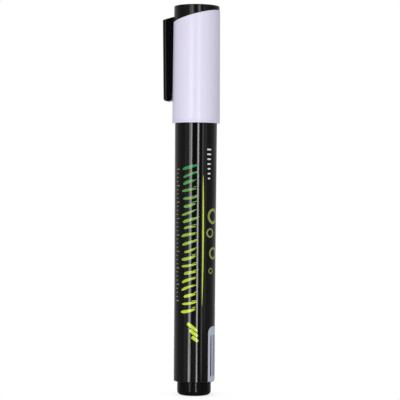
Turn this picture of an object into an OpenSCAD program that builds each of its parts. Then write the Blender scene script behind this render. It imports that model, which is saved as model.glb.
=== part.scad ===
// Liquid chalk marker with a push-on cap, a one-piece clip and a sprung valve behind its nib.
// The pen stands on its tail. The origin is the centre of its foot, +Z runs up the axis to the
// top of the cap, and the clip is on the -X side. Sizes are in millimetres.

/* [Barrel] */
// Outside diameter of the barrel's straight lower part
barrel_d = 14.6; // [13:0.1:17]
// Length of that straight part from the tail rim
straight_len = 36; // [10:1:55]
// Growth of the barrel's radius from the straight part up to the cap
barrel_swell = 0.2; // [0:0.01:0.3]
// Length of the barrel from its tail rim up to the shoulder that stops the cap
barrel_len = 92.3; // [60:0.1:130]
// Wall of the barrel round the ink chamber
barrel_wall = 1.5; // [1.2:0.05:1.8]
// Radius of the rounded edge of the tail rim
tail_rim_r = 0.3; // [0.2:0.05:1]
// Depth by which the land that the cap's skirt covers is set in from the barrel
land_step = 0.4; // [0.1:0.01:0.5]
// Width of the shoulder that the cap comes to rest on
shoulder_w = 0.85; // [0.7:0.05:1.2]
// Thickness of the web under the shoulder
shoulder_web = 1.5; // [1:0.1:2.5]
// Length of the neck above the shoulder
neck_len = 8.7; // [7:0.1:12]
// Wall of the neck
neck_wall = 1.05; // [0.9:0.05:1.4]
// Number of grip rings on the neck
grip_ring_count = 2; // [1:1:3]
// Height by which the grip rings stand out from the neck
grip_ring_h = 0.15; // [0.1:0.05:0.25]
// Width of one grip ring at its foot
grip_ring_w = 1; // [0.8:0.1:1.4]

/* [Tail plug] */
// Height of the plug's head below the tail rim
foot_h = 4.9; // [3:0.1:8]
// Radius of the rounded edge round the foot
foot_edge_r = 1.5; // [0.5:0.1:1.8]
// Depth to which the plug goes into the barrel
plug_insert = 10; // [6:0.5:16]
// Ledge inside the barrel that stops the plug
plug_ledge = 0.4; // [0.3:0.05:0.5]
// Step from the plug's spigot in to its head
plug_step = 0.16; // [0.15:0.01:0.4]
// Depth of the ring-shaped recess between the head and the rim
plug_recess = 0.6; // [0.3:0.1:1.5]
// Thickness of the plug's floor
plug_floor = 2.2; // [1.6:0.1:3]
// Wall of the plug's cup
plug_wall = 1.2; // [1:0.1:1.6]
// Diameter of the mixing ball
ball_d = 4.8; // [3.5:0.1:6]

/* [Cap] */
// Length of the cap's core from the shoulder to the top of the pen
core_len = 40.8; // [38:0.1:55]
// Depth by which the sleeve's skirt reaches below the core
skirt_len = 0.8; // [0.4:0.1:0.9]
// Wall of the outer sleeve
sleeve_wall = 1; // [0.8:0.05:1.4]
// Drop of the sleeve's radius from its mouth to the top of the cap
sleeve_taper = 0.2; // [0.1:0.02:0.4]
// Height of the plain rim at the sleeve's mouth
sleeve_rim_h = 0.55; // [0.5:0.05:1.5]
// Depth of the fine groove above that rim
rim_groove_d = 0.2; // [0.05:0.01:0.3]
// Width of that groove
rim_groove_w = 0.35; // [0.2:0.05:0.6]
// Radius of the edge round the sleeve's mouth
mouth_edge_r = 0.15; // [0.1:0.05:0.4]
// Depth of the slanted cut below the top of the cap, on the axis
cut_depth = 3.65; // [2.8:0.05:6]
// Slope of the cut, which falls towards the clip
cut_angle = 14.8; // [6:0.1:18]
// Step from the sleeve in to the bare top of the core
head_step = 0.17; // [0.1:0.01:0.4]
// Radius of the edge round the top of the cap
head_edge_r = 0.2; // [0.2:0.1:1]
// Thickness of the cap's roof
roof_h = 1.6; // [1.2:0.1:2.4]
// Step inside the core between the neck's bore and the liner's bore
core_step = 0.4; // [0.3:0.05:0.6]
// Wall of the soft liner
liner_wall = 0.7; // [0.5:0.05:0.9]
// Thickness of the liner's closed end
liner_top_h = 0.8; // [0.6:0.1:1.4]

/* [Clip] */
// Distance by which the clip's outer face stands out from the sleeve's mouth
clip_stand = 3.65; // [2.8:0.05:4.5]
// Width of the clip
clip_w = 5.4; // [4:0.1:7]
// Length of the clip from its root down to its end
clip_len = 30; // [20:0.05:34]
// Height of the clip's root above the cut
clip_root_h = 2.05; // [1.4:0.05:2.4]
// Slope of the clip's top
clip_top_angle = 16; // [5:1:20]
// Distance by which the clip closes on the sleeve over its length
clip_closing = 0.5; // [0.1:0.05:0.8]
// Thickness of the clip's outer wall
clip_wall = 1.2; // [1:0.05:1.6]
// Thickness of the clip's two side flanges next to its outer wall
clip_flange = 1.1; // [0.8:0.05:1.4]
// Radius of the clip's long outer edges
clip_edge_r = 1.25; // [0.3:0.05:1.3]
// Angle at which the clip's sides draw in from those edges towards the cap
clip_draft = 10; // [0:0.5:12]
// Radius of the clip's end on its outer side
clip_end_r = 1.45; // [1:0.05:1.9]
// Radius of the clip's end next to the sleeve
clip_toe_r = 1.2; // [0.2:0.05:1.4]
// Height of the closed end below the clip's channel
clip_end_h = 2.6; // [2.2:0.1:5]
// Radius of the grip nub inside the clip's end
nub_r = 0.6; // [0.4:0.05:0.8]

/* [Nose and nib] */
// Length of the nose above the neck
nose_len = 13.5; // [12:0.1:18]
// Height of the nose's flange
nose_flange_h = 1.2; // [0.8:0.1:2]
// Distance by which the flange is set in from the neck
nose_flange_inset = 0.15; // [0.1:0.05:0.4]
// Length of the straight land that the liner seals on
seal_len = 5.3; // [3:0.1:6]
// Length of the nose's spigot in the neck
spigot_len = 8; // [6:0.1:8.5]
// Wall of the spigot
spigot_wall = 0.9; // [0.7:0.05:1.2]
// Wall of the nose at its tip
tip_wall = 0.85; // [0.7:0.05:1.2]
// Diameter of the nib
nib_d = 6; // [4.5:0.1:6.4]
// Length of the nib
nib_len = 13.4; // [11:0.1:16]
// Radius of the nib's rounded point
nib_point_r = 2.1; // [1:0.1:2.2]
// Travel of the nib when it is pressed
nib_stroke = 2; // [1:0.1:3]
// Number of air grooves round the nib
vent_count = 4; // [3:1:6]
// Width of one air groove
vent_w = 0.7; // [0.4:0.1:1]
// Depth of one air groove
vent_d = 0.4; // [0.2:0.05:0.5]

/* [Valve] */
// Distance from the end of the spigot up to the valve's housing
housing_inset = 1; // [0.5:0.1:2]
// Length of the valve's housing
housing_len = 11.3; // [10.5:0.1:13]
// Wall of the housing
housing_wall = 0.7; // [0.6:0.05:0.9]
// Thickness of the housing's end plate
housing_plate_h = 1.2; // [0.8:0.1:1.6]
// Thickness of the gasket
gasket_h = 0.8; // [0.5:0.1:1.2]
// Diameter of the plunger's stem
stem_d = 2.4; // [1.8:0.1:2.8]
// Thickness of the plunger's flange
plunger_flange_h = 1; // [0.7:0.1:1.4]
// Length of the stem that stands out below the housing
stem_tail = 1.4; // [0.5:0.1:2.5]
// Thickness of the retainer
retainer_h = 1.2; // [0.8:0.1:1.6]
// Ledge inside the housing that the retainer rests on
retainer_ledge = 0.2; // [0.15:0.05:0.3]
// Diameter of one ink hole in the retainer
ink_hole_d = 0.7; // [0.4:0.1:0.8]
// Number of ink holes in the retainer
ink_hole_count = 8; // [4:1:10]
// Diameter of the spring's wire
wire_d = 0.5; // [0.3:0.05:0.6]
// Rise of the spring in one turn
spring_pitch = 1.3; // [1.3:0.05:2]

/* [Fits] */
// Gap round a piece that is pressed in
press_gap = 0.02; // [0.01:0.01:0.04]
// Gap between the shells of the cap
shell_gap = 0.03; // [0.01:0.01:0.06]
// Gap between the core and the grip rings
grip_gap = 0.05; // [0.03:0.01:0.1]
// Gap between the liner and the land that it seals on
seal_gap = 0.05; // [0.03:0.01:0.1]
// Gap between the sleeve's skirt and the barrel's land
skirt_gap = 0.36; // [0.2:0.02:0.5]
// Gap between the cap's mouth and the edge of the barrel below it
mouth_gap = 0.1; // [0.05:0.05:0.5]
// Gap round the nib in its bore
nib_gap = 0.05; // [0.03:0.01:0.1]
// Gap round the stem in the retainer
guide_gap = 0.08; // [0.03:0.01:0.1]
// Gap round the stem in the valve's port
port_gap = 0.5; // [0.3:0.05:0.6]
// Gap round the plunger's flange, where ink passes
flange_gap = 0.6; // [0.4:0.05:0.8]
// Gap left above the valve when the nib is fully pressed
stroke_gap = 0.3; // [0.1:0.1:0.6]
// Gap between the nose's flange and the step inside the core
core_step_gap = 1; // [0.5:0.1:2]
// Distance from that step up to the liner's mouth
liner_inset = 0.6; // [0.2:0.1:1.5]
// Gap between the clip's flanges and the sleeve
clip_gap = 0.2; // [0.1:0.05:0.5]
// Gap between the clip's grip nub and the sleeve
nub_gap = 0.1; // [0.05:0.05:0.15]
// Gap under the mixing ball
ball_gap = 0.05; // [0.02:0.01:0.1]

/* [Hidden] */
$fn = 96;

// Lead-in chamfer on the pieces that are pushed into others
lead = 0.3;
// Least flat that a rounded rim keeps
rim_flat = 0.1;
// Overlap by which a cutting tool passes a face
past = 1;

// Heights up the axis
rim_z = foot_h;
plug_top_z = rim_z + plug_insert;
straight_end_z = rim_z + straight_len;
shoulder_z = rim_z + barrel_len;
mouth_z = shoulder_z - skirt_len;
land_z = mouth_z - mouth_gap;
chamber_top_z = shoulder_z - shoulder_web;
neck_end_z = shoulder_z + neck_len;
spigot_end_z = neck_end_z - spigot_len;
nose_flange_z = neck_end_z + nose_flange_h;
cone_z = nose_flange_z + seal_len;
nose_tip_z = neck_end_z + nose_len;
housing_z = spigot_end_z + housing_inset;
valve_top_z = housing_z + housing_len;
plate_z = valve_top_z - housing_plate_h;
gasket_z = plate_z - gasket_h;
plunger_flange_z = gasket_z - plunger_flange_h;
spring_z = housing_z + retainer_h;
nib_z = valve_top_z + nib_stroke + stroke_gap;
top_z = shoulder_z + core_len;
cut_z = top_z - cut_depth;
ceiling_z = top_z - roof_h;
core_step_z = nose_flange_z + core_step_gap;
liner_z = core_step_z + liner_inset;

// Radii of the barrel and the tail plug
barrel_r = barrel_d / 2;
barrel_top_r = barrel_r + barrel_swell;
chamber_r = barrel_r - barrel_wall;
tail_bore_r = chamber_r + plug_ledge;
rim_r = min(tail_rim_r, barrel_r - tail_bore_r - rim_flat);
land_r = barrel_top_r - land_step;
neck_r = land_r - shoulder_w;
neck_bore_r = neck_r - neck_wall;
grip_ring_r = neck_r + grip_ring_h;
plug_r = tail_bore_r - press_gap;
plug_head_r = plug_r - plug_step;
plug_cup_r = plug_r - plug_wall;

// Radii of the cap, from the sleeve inwards
sleeve_bore_r = land_r + skirt_gap;
sleeve_r = sleeve_bore_r + sleeve_wall;
head_r = sleeve_r - sleeve_taper - head_step;
core_r = sleeve_bore_r - shell_gap;
core_bore_r = grip_ring_r + grip_gap;
core_upper_r = core_bore_r - core_step;
liner_r = core_upper_r - shell_gap;
liner_bore_r = liner_r - liner_wall;

// Radii of the nose, the nib and the valve
seal_r = liner_bore_r - seal_gap;
spigot_r = neck_bore_r - press_gap;
nose_flange_r = neck_r - nose_flange_inset;
valve_chamber_r = spigot_r - spigot_wall;
nib_r = nib_d / 2;
nib_bore_r = nib_r + nib_gap;
nose_tip_r = nib_bore_r + tip_wall;
housing_r = valve_chamber_r - press_gap;
housing_bore_r = housing_r - housing_wall;
retainer_bore_r = housing_bore_r + retainer_ledge;
retainer_r = retainer_bore_r - press_gap;
stem_r = stem_d / 2;
port_r = stem_r + port_gap;
plunger_flange_r = housing_bore_r - flange_gap;
spring_r = (stem_r + housing_bore_r) / 2;
ink_hole_ring_r = (spring_r + wire_d / 2 + housing_bore_r) / 2;

// Places of the clip, as distances from the axis and heights. Its flanges end on a round cut of the
// radius clip_in, which meets the clip's full width at the distance clip_toe.
clip_out = sleeve_r + clip_stand;
clip_in = sleeve_r + clip_gap;
clip_toe = sqrt(pow(clip_in, 2) - pow(clip_w / 2, 2));
clip_root_z = cut_z - head_r * tan(cut_angle) + clip_root_h;
clip_root_in = (head_r + core_bore_r) / 2;
clip_end_z = clip_root_z - clip_len;
clip_tilt = atan(clip_closing / clip_len);
clip_end_out = clip_out - clip_closing;
clip_end_depth = clip_end_out - clip_toe;
toe_r = min(clip_toe_r, clip_end_depth - clip_end_r);
nub_z = clip_end_z + clip_end_h - nub_r;
nub_x = sleeve_out(nub_z) + nub_gap + nub_r;

// Turns of the spring: a quarter turn at each end lies flat and is ground down
ground_turns = 0.25;
ground_depth = 0.12;
rings_per_turn = 8;
wire_sides = 6;
wire_r = wire_d / 2;
spring_top_z = plunger_flange_z;
coil_rise = spring_top_z - spring_z - 2 * (wire_r - ground_depth);
active_turns = coil_rise / spring_pitch;
spring_turns = active_turns + 2 * ground_turns;
spring_rings = ceil(spring_turns * rings_per_turn);

// Height of the clip's slanted top at a distance from the axis
function clip_top_z(x) = clip_root_z - (x - head_r) * tan(clip_top_angle);

// Radius of the sleeve's outside, its bore and the core's outside at a height
function taper_at(z) = sleeve_taper * (z - mouth_z) / (top_z - mouth_z);
function sleeve_out(z) = sleeve_r - taper_at(z);
function sleeve_in(z) = sleeve_bore_r - taper_at(z);
function core_out(z) = core_r - taper_at(z);

// Corner of a square less the disc that rounds it, with the corner at the origin
module corner_sliver(r) {
    difference() {
        square(r);
        translate([r, r]) circle(r);
    }
}

// Solid of revolution from an outline of [radius, height] points
module turned(points) {
    rotate_extrude() polygon(points);
}

// Everything above the slanted cut through the cap
module above_cut() {
    reach = 4 * clip_out;
    translate([0, 0, cut_z])
        rotate([0, -cut_angle, 0])
            translate([-reach / 2, -reach / 2, 0])
                cube([reach, reach, reach]);
}

// Outline of one grip ring on the neck, centred on height z, with flanks as wide as they are high
function grip_ring(z) = [
    [neck_r, z - grip_ring_w / 2],
    [grip_ring_r, z - grip_ring_w / 2 + grip_ring_h],
    [grip_ring_r, z + grip_ring_w / 2 - grip_ring_h],
    [neck_r, z + grip_ring_w / 2]
];

module barrel() {
    outline = concat(
        [
            [tail_bore_r, rim_z],
            [barrel_r, rim_z],
            [barrel_r, straight_end_z],
            [barrel_top_r, land_z],
            [land_r, land_z],
            [land_r, shoulder_z],
            [neck_r, shoulder_z]
        ],
        [
            for (k = [1:grip_ring_count])
                each grip_ring(shoulder_z + neck_len * k / (grip_ring_count + 1))
        ],
        [
            [neck_r, neck_end_z - lead],
            [neck_r - lead, neck_end_z],
            [neck_bore_r, neck_end_z],
            [neck_bore_r, chamber_top_z],
            [chamber_r, chamber_top_z],
            [chamber_r, plug_top_z],
            [tail_bore_r, plug_top_z]
        ]
    );
    color([0.09, 0.09, 0.1])
        rotate_extrude() difference() {
            polygon(outline);
            translate([barrel_r, rim_z]) rotate(90) corner_sliver(rim_r);
        }
}

module tail_plug() {
    step_z = rim_z + plug_recess;
    outline = [
        [0, 0],
        [plug_head_r, 0],
        [plug_head_r, step_z],
        [plug_r, step_z],
        [plug_r, plug_top_z],
        [plug_cup_r, plug_top_z],
        [plug_cup_r, plug_floor],
        [0, plug_floor]
    ];
    color([0.1, 0.1, 0.11])
        rotate_extrude() difference() {
            polygon(outline);
            translate([plug_head_r, 0]) rotate(90) corner_sliver(foot_edge_r);
        }
}

module mixing_ball() {
    color([0.72, 0.73, 0.75])
        translate([0, 0, plug_floor + ball_gap + ball_d / 2])
            sphere(d = ball_d);
}

module nose_cone() {
    outline = [
        [valve_chamber_r, spigot_end_z],
        [spigot_r - lead, spigot_end_z],
        [spigot_r, spigot_end_z + lead],
        [spigot_r, neck_end_z],
        [nose_flange_r, neck_end_z],
        [nose_flange_r, nose_flange_z],
        [seal_r, nose_flange_z],
        [seal_r, cone_z],
        [nose_tip_r, nose_tip_z - lead],
        [nose_tip_r - lead, nose_tip_z],
        [nib_bore_r, nose_tip_z],
        [nib_bore_r, valve_top_z],
        [valve_chamber_r, valve_top_z]
    ];
    color([0.12, 0.12, 0.13]) difference() {
        turned(outline);
        for (i = [0:vent_count - 1])
            rotate([0, 0, 360 * i / vent_count])
                translate([0, -vent_w / 2, valve_top_z])
                    cube([nib_bore_r + vent_d, vent_w, nose_tip_z - valve_top_z + past]);
    }
}

module nib() {
    color([0.93, 0.92, 0.86])
        translate([0, 0, nib_z])
            rotate_extrude() difference() {
                square([nib_r, nib_len]);
                translate([nib_r, nib_len]) rotate(180) corner_sliver(nib_point_r);
                translate([nib_r, 0]) rotate(90) corner_sliver(lead);
            }
}

module valve_housing() {
    color([0.85, 0.86, 0.88]) turned([
        [retainer_bore_r, housing_z],
        [housing_r - lead, housing_z],
        [housing_r, housing_z + lead],
        [housing_r, valve_top_z],
        [port_r, valve_top_z],
        [port_r, plate_z],
        [housing_bore_r, plate_z],
        [housing_bore_r, spring_z],
        [retainer_bore_r, spring_z]
    ]);
}

module valve_gasket() {
    color([0.25, 0.25, 0.26]) turned([
        [port_r, gasket_z],
        [housing_bore_r - press_gap, gasket_z],
        [housing_bore_r - press_gap, plate_z],
        [port_r, plate_z]
    ]);
}

module valve_plunger() {
    color([0.9, 0.9, 0.92]) turned([
        [0, housing_z - stem_tail],
        [stem_r - lead, housing_z - stem_tail],
        [stem_r, housing_z - stem_tail + lead],
        [stem_r, plunger_flange_z],
        [plunger_flange_r, plunger_flange_z],
        [plunger_flange_r, gasket_z],
        [stem_r, gasket_z],
        [stem_r, nib_z],
        [0, nib_z]
    ]);
}

// Height of the wire's centre after t turns from the lower end
function coil_z(t) =
    spring_z + wire_r - ground_depth + spring_pitch * max(0, min(t - ground_turns, active_turns));

// Turns made at ring i
function ring_turn(i) = spring_turns * i / spring_rings;

// Point j of ring i, held between the two seats so that the ends come out flat
function wire_point(i, j) =
    let (
        t = ring_turn(i),
        a = 360 * j / wire_sides,
        r = spring_r + wire_r * cos(a),
        z = coil_z(t) + wire_r * sin(a)
    )
    [r * cos(360 * t), r * sin(360 * t), max(spring_z, min(spring_top_z, z))];

// Centre of the wire at ring i
function wire_centre(i) =
    let (t = ring_turn(i))
    [spring_r * cos(360 * t), spring_r * sin(360 * t), coil_z(t)];

// Least gap between one turn of the wire and the next
spring_gap = min([
    for (i = [0:spring_rings])
        for (k = [i + ceil(rings_per_turn / 2):spring_rings])
            norm(wire_centre(i) - wire_centre(k)) - wire_d
]);

module valve_spring() {
    function at(i, j) = i * wire_sides + j % wire_sides;
    points = [for (i = [0:spring_rings]) for (j = [0:wire_sides - 1]) wire_point(i, j)];
    side_faces = [
        for (i = [0:spring_rings - 1])
            for (j = [0:wire_sides - 1])
                for (face = [
                    [at(i, j), at(i + 1, j), at(i + 1, j + 1)],
                    [at(i, j), at(i + 1, j + 1), at(i, j + 1)]
                ]) face
    ];
    start_faces = [for (j = [1:wire_sides - 2]) [at(0, 0), at(0, j), at(0, j + 1)]];
    end_faces = [
        for (j = [1:wire_sides - 2])
            [at(spring_rings, 0), at(spring_rings, j + 1), at(spring_rings, j)]
    ];
    echo(str("Least gap between the spring's turns: ", spring_gap));
    color([0.7, 0.71, 0.73])
        polyhedron(points = points, faces = concat(side_faces, start_faces, end_faces));
}

module valve_retainer() {
    color([0.85, 0.86, 0.88]) difference() {
        translate([0, 0, housing_z]) cylinder(r = retainer_r, h = retainer_h);
        translate([0, 0, housing_z - past]) {
            cylinder(r = stem_r + guide_gap, h = retainer_h + 2 * past);
            for (i = [0:ink_hole_count - 1])
                rotate([0, 0, 360 * i / ink_hole_count])
                    translate([ink_hole_ring_r, 0, 0])
                        cylinder(d = ink_hole_d, h = retainer_h + 2 * past);
        }
    }
}

// Outside of the clip's cross-section, with its outer face on x = 0. Its sides draw in behind the
// rounded edges.
module clip_section() {
    depth = clip_out - clip_root_in;
    half_w = clip_w / 2;
    draw = (depth - clip_edge_r) * tan(clip_draft);
    difference() {
        polygon([
            [0, -half_w],
            [clip_edge_r, -half_w],
            [depth, draw - half_w],
            [depth, half_w - draw],
            [clip_edge_r, half_w],
            [0, half_w]
        ]);
        translate([0, -half_w]) corner_sliver(clip_edge_r);
        translate([0, half_w]) rotate(-90) corner_sliver(clip_edge_r);
    }
}

// The long tilted block that gives the clip its outer face and rounded edges
module clip_block() {
    translate([-clip_out, 0, clip_root_z])
        rotate([0, -clip_tilt, 0])
            translate([0, 0, -clip_len - past])
                linear_extrude(height = clip_len + 2 * past) clip_section();
}

// Side view of the clip from its slanted top down to its rounded end, as [-distance, height].
// Its inner side is at the distance inner from the axis.
module clip_side(inner) {
    difference() {
        polygon([
            [-clip_out - past, clip_top_z(clip_out + past)],
            [-inner, clip_top_z(inner)],
            [-inner, clip_end_z],
            [-clip_out - past, clip_end_z]
        ]);
        translate([-clip_end_out - past, clip_end_z - past]) difference() {
            square(clip_end_r + past);
            translate([clip_end_r + past, clip_end_r + past]) circle(clip_end_r);
        }
        translate([-clip_toe, clip_end_z]) rotate(90) corner_sliver(toe_r);
    }
}

// The block trimmed to one side view
module clip_cut_from_block(inner) {
    intersection() {
        clip_block();
        rotate([90, 0, 0])
            linear_extrude(height = clip_w + past, center = true) clip_side(inner);
    }
}

// The channel inside the clip, which opens towards the cap and is closed at its lower end
module clip_channel() {
    translate([-clip_out + clip_wall, 0, clip_root_z])
        rotate([0, -clip_tilt, 0])
            translate([0, -clip_w / 2 + clip_flange, -clip_len + clip_end_h])
                cube([clip_out, clip_w - 2 * clip_flange, clip_len]);
}

// The clip: a channel below the cut whose flanges follow the sleeve, a solid root above it and a
// grip nub at its end
module clip() {
    difference() {
        clip_cut_from_block(clip_toe);
        difference() {
            clip_channel();
            above_cut();
        }
        translate([0, 0, clip_end_z - past]) cylinder(r = clip_in, h = clip_len + 2 * past);
    }
    intersection() {
        clip_cut_from_block(clip_root_in);
        above_cut();
    }
    translate([-nub_x, 0, nub_z])
        rotate([90, 0, 0])
            cylinder(r = nub_r, h = clip_w - 2 * clip_flange + lead, center = true);
}

module cap_core() {
    head_low_z = cut_z - head_r * tan(cut_angle) - past;
    color([0.11, 0.11, 0.12]) {
        difference() {
            union() {
                turned([
                    [0, shoulder_z],
                    [core_out(shoulder_z), shoulder_z],
                    [core_out(ceiling_z), ceiling_z],
                    [0, ceiling_z]
                ]);
                intersection() {
                    translate([0, 0, head_low_z])
                        rotate_extrude() difference() {
                            square([head_r, top_z - head_low_z]);
                            translate([head_r, top_z - head_low_z])
                                rotate(180) corner_sliver(head_edge_r);
                        }
                    above_cut();
                }
            }
            translate([0, 0, shoulder_z - past])
                cylinder(r = core_bore_r, h = core_step_z - shoulder_z + past);
            translate([0, 0, shoulder_z])
                cylinder(r = core_upper_r, h = ceiling_z - shoulder_z);
        }
        clip();
    }
}

module cap_sleeve() {
    groove_z = mouth_z + sleeve_rim_h;
    outline = [
        [sleeve_bore_r, mouth_z],
        [sleeve_r, mouth_z],
        [sleeve_r, groove_z],
        [sleeve_r - rim_groove_d, groove_z + rim_groove_w / 2],
        [sleeve_out(groove_z + rim_groove_w), groove_z + rim_groove_w],
        [sleeve_out(top_z), top_z],
        [sleeve_in(top_z), top_z]
    ];
    color([0.87, 0.86, 0.94]) difference() {
        rotate_extrude() difference() {
            polygon(outline);
            translate([sleeve_r, mouth_z]) rotate(90) corner_sliver(mouth_edge_r);
        }
        above_cut();
    }
}

module cap_liner() {
    color([0.8, 0.82, 0.84]) turned([
        [liner_bore_r + lead, liner_z],
        [liner_r, liner_z],
        [liner_r, ceiling_z],
        [0, ceiling_z],
        [0, ceiling_z - liner_top_h],
        [liner_bore_r, ceiling_z - liner_top_h],
        [liner_bore_r, liner_z + lead]
    ]);
}

barrel();
tail_plug();
mixing_ball();
nose_cone();
nib();
valve_housing();
valve_gasket();
valve_plunger();
valve_spring();
valve_retainer();
cap_core();
cap_sleeve();
cap_liner();
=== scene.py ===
"""Looks of a capped valve marker pen that stands on its tail.

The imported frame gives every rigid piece. This script adds the print on the barrel, a cap sleeve
with softened edges and a finely wound valve spring, and gives each piece its finish. Lengths are in
metres and angles in degrees, unless a docstring says otherwise.
"""

import logging
import math
from dataclasses import dataclass, replace
from enum import Enum

import bpy
import numpy as np
from mathutils import Matrix, Quaternion, Vector


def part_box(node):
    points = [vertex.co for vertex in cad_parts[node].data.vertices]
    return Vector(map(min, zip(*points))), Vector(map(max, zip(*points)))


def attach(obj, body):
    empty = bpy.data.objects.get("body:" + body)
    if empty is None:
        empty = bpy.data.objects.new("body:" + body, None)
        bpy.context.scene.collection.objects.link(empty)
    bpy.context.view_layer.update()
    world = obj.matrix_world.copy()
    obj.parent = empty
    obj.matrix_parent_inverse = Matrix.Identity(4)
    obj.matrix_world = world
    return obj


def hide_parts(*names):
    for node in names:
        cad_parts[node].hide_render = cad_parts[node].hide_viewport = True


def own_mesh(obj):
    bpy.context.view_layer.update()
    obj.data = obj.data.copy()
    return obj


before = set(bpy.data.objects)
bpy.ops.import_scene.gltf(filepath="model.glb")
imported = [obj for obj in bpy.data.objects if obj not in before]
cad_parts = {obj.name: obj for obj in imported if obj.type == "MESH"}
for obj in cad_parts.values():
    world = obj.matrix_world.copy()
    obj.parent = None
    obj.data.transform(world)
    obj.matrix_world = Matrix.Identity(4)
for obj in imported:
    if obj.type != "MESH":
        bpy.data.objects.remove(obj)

Colour = tuple[float, float, float]
Span = tuple[float, float]
Material = bpy.types.Material
Node = bpy.types.Node
Piece = bpy.types.Object
Socket = bpy.types.NodeSocket
Sockets = dict[str, Socket]

LOG = logging.getLogger("marker_pen")
MM = 0.001
FULL_TURN = 2 * math.pi
UP = Vector((0, 0, 1))
WHITE: Colour = (1.0, 1.0, 1.0)

# Azimuth of the photograph's viewpoint, which is also where the print faces.
VIEW_AZIMUTH = 13.0

# Most values of a noise texture lie in this span.
NOISE_SPAN: Span = (0.3, 0.7)

# A mask or share from nothing to the whole.
NONE_TO_ALL: Span = (0.0, 1.0)


class Body(Enum):
    """The bodies of the pen that carry new pieces."""

    PEN = "pen"
    CAP = "cap"


def azimuth_vector(azimuth: float) -> Vector:
    """Level unit vector that points from the axis towards an azimuth.

    Args:
        azimuth: Angle from -Y towards +X.

    Returns:
        The vector (sin, -cos, 0) of that angle.
    """
    turn = math.radians(azimuth)
    return Vector((math.sin(turn), -math.cos(turn), 0.0))


def span_about(middle: float, swing: float) -> Span:
    """Return the span that reaches a swing to both sides of a middle."""
    return (middle - swing, middle + swing)


def shade(colour: Colour, factor: float) -> Colour:
    """Return a colour made lighter or darker by a factor."""
    return tuple(min(1.0, channel * factor) for channel in colour)


def show(name: str, data: bpy.types.ID) -> Piece:
    """Put new data into the scene.

    Args:
        name: Name of the object.
        data: Its mesh, lamp or camera.

    Returns:
        The new object, at the origin.
    """
    piece = bpy.data.objects.new(name, data)
    bpy.context.scene.collection.objects.link(piece)
    return piece


class Sketch:
    """Adds and links the nodes of one shader tree."""

    def __init__(self, tree: bpy.types.NodeTree) -> None:
        """Keep the tree that the nodes go into."""
        self.tree = tree

    def feed(self, socket: Socket, value: object) -> None:
        """Link an output to a socket, or set the socket's own value.

        Args:
            socket: The input to fill.
            value: An output socket, a number or a tuple. A colour may leave out its alpha.
        """
        if isinstance(value, Socket):
            self.tree.links.new(value, socket)
        elif socket.type == "RGBA" and len(value) == 3:
            socket.default_value = (*value, 1.0)
        else:
            socket.default_value = value

    def fill(self, node: Node, **inputs: object) -> None:
        """Fill some of a node's inputs, each named with _ for a space."""
        for name, value in inputs.items():
            self.feed(node.inputs[name.replace("_", " ")], value)

    def add(
        self, kind: str, settings: dict | None = None, values: tuple = (), **inputs: object
    ) -> Node:
        """Place one node and fill its inputs with values or output sockets.

        Args:
            kind: Type of the node without its ShaderNode prefix.
            settings: Properties of the node by name.
            values: What goes into the first inputs, in their order.
            inputs: What goes into other inputs by name, with _ for a space.

        Returns:
            The new node.
        """
        node = self.tree.nodes.new("ShaderNode" + kind)
        for name, value in (settings or {}).items():
            setattr(node, name, value)
        for socket, value in zip(node.inputs, values):
            self.feed(socket, value)
        self.fill(node, **inputs)
        return node

    def math(self, operation: str, *values: object) -> Socket:
        """Work out one arithmetic operation and return its output."""
        return self.add("Math", {"operation": operation}, values).outputs[0]

    def vector_math(self, operation: str, *values: object) -> Socket:
        """Work out one vector operation and return its number or vector."""
        result = "Value" if operation in ("DOT_PRODUCT", "LENGTH") else "Vector"
        return self.add("VectorMath", {"operation": operation}, values).outputs[result]

    def blend(self, share: object, low: object, high: object) -> Socket:
        """Mix two colours.

        Args:
            share: Share of the second colour.
            low: The first colour.
            high: The second colour.

        Returns:
            The mixed colour.
        """
        node = self.add("Mix", {"data_type": "RGBA"})
        for name, value in (("Factor_Float", share), ("A_Color", low), ("B_Color", high)):
            self.feed(next(s for s in node.inputs if s.identifier == name), value)
        return next(s for s in node.outputs if s.identifier == "Result_Color")

    def remap(self, value: object, span: Span, onto: Span, soft: bool = False) -> Socket:
        """Carry a value from one span onto another, clamped at both ends.

        Args:
            value: The socket to carry over.
            span: The values that map to the two ends of onto.
            onto: The values at those ends.
            soft: Whether the change eases in and out.

        Returns:
            The socket of the new value.
        """
        settings = {"interpolation_type": "SMOOTHSTEP" if soft else "LINEAR", "clamp": True}
        return self.add("MapRange", settings, (value, *span, *onto)).outputs["Result"]

    def noise(self, vector: object, scale: object, detail: float = 3.0) -> Socket:
        """Place a noise texture and return its value from 0 to 1."""
        return self.add("TexNoise", Vector=vector, Scale=scale, Detail=detail).outputs["Fac"]

    def place_of(self, kind: str = "Object") -> Socket:
        """Return one of the texture coordinates."""
        return self.add("TexCoord").outputs[kind]

    def place_along(self, axis: str) -> Socket:
        """Return the place along one axis of the pen's frame."""
        return self.add("SeparateXYZ", Vector=self.place_of()).outputs[axis]


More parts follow.
